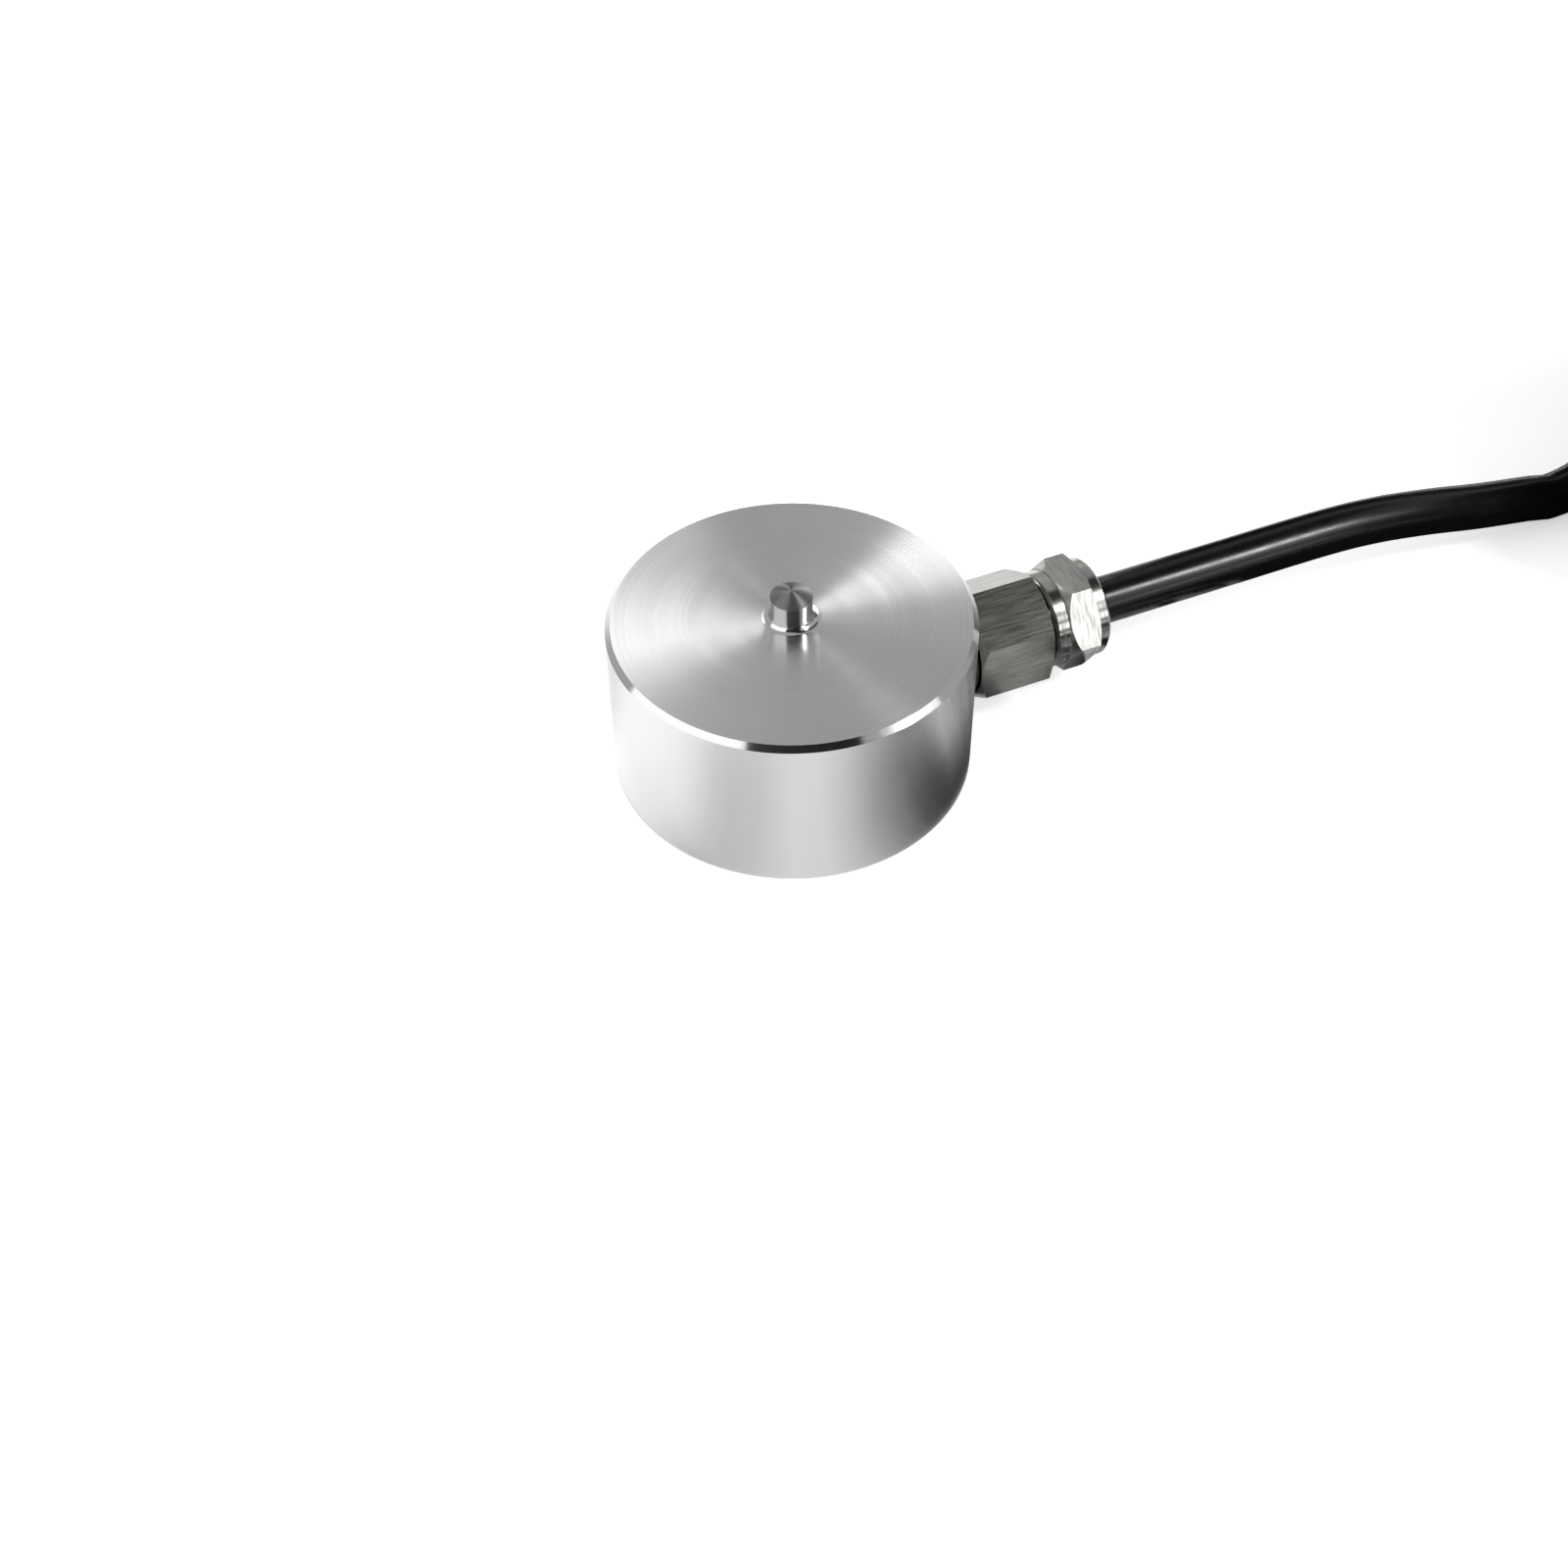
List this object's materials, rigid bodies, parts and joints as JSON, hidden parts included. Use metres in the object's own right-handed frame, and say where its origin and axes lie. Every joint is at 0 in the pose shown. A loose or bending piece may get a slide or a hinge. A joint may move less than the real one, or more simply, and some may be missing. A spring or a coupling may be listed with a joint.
{
  "type": "strain gauge load cell",
  "caption": "Low cylindrical button load cell: turned steel body with a small domed load button on top, a hexagon cable fitting with nut at the side and a black cable.",
  "frame": {"origin": "centre of the mounting face, on the axis of the body and of its mounting holes", "axes": "+Z from the mounting face to the load button, against the load; +X along the cable fitting, out of the body"},
  "size_m": [0.1011, 0.0378, 0.018],
  "materials": {
    "body_steel": "fine turned",
    "cover_steel": "satin",
    "fitting_steel": "brushed, bright on the edges",
    "nut_steel": "brushed",
    "seal_rubber": "matt",
    "washer_brass": "turned",
    "cable_jacket": "glossy",
    "sleeve_plastic": "satin",
    "tie_plastic": "satin",
    "insulation_film": "satin",
    "board_green": "satin",
    "solder": "bright",
    "resistor_black": "matt",
    "resistor_cream": "matt",
    "gauge_film": "glossy film",
    "gauge_foil": "etched foil",
    "wire_copper": "enamelled",
    "core_red": "satin",
    "core_black": "satin",
    "core_green": "satin",
    "core_white": "satin",
    "tinned_wire": "tinned"
  },
  "bodies": {
    "root": {"load_body": "body_steel", "base_cover": "cover_steel", "insulation_disc": "insulation_film", "junction_board": "board_green", "solder_pads": "solder", "trim_resistors": "resistor_black", "temperature_resistor": "resistor_cream", "gauge_backing_1": "gauge_film", "gauge_backing_2": "gauge_film", "gauge_backing_3": "gauge_film", "gauge_backing_4": "gauge_film", "gauge_grid_1": "gauge_foil", "gauge_grid_2": "gauge_foil", "gauge_grid_3": "gauge_foil", "gauge_grid_4": "gauge_foil", "gauge_wires": "wire_copper", "core_red": "core_red", "core_black": "core_black", "core_green": "core_green", "core_white": "core_white", "gland_body": "fitting_steel", "port_seal": "seal_rubber", "seal_bush": "seal_rubber", "thrust_washer": "washer_brass", "gland_nut": "nut_steel", "cable": "cable_jacket", "cable_coil": "cable_jacket", "cable_tail": "cable_jacket", "coil_ties": "tie_plastic", "end_sleeve": "sleeve_plastic", "lead_red": "core_red", "lead_black": "core_black", "lead_green": "core_green", "lead_white": "core_white", "drain_wire": "tinned_wire", "lead_tips": "tinned_wire"}
  },
  "joints": []
}
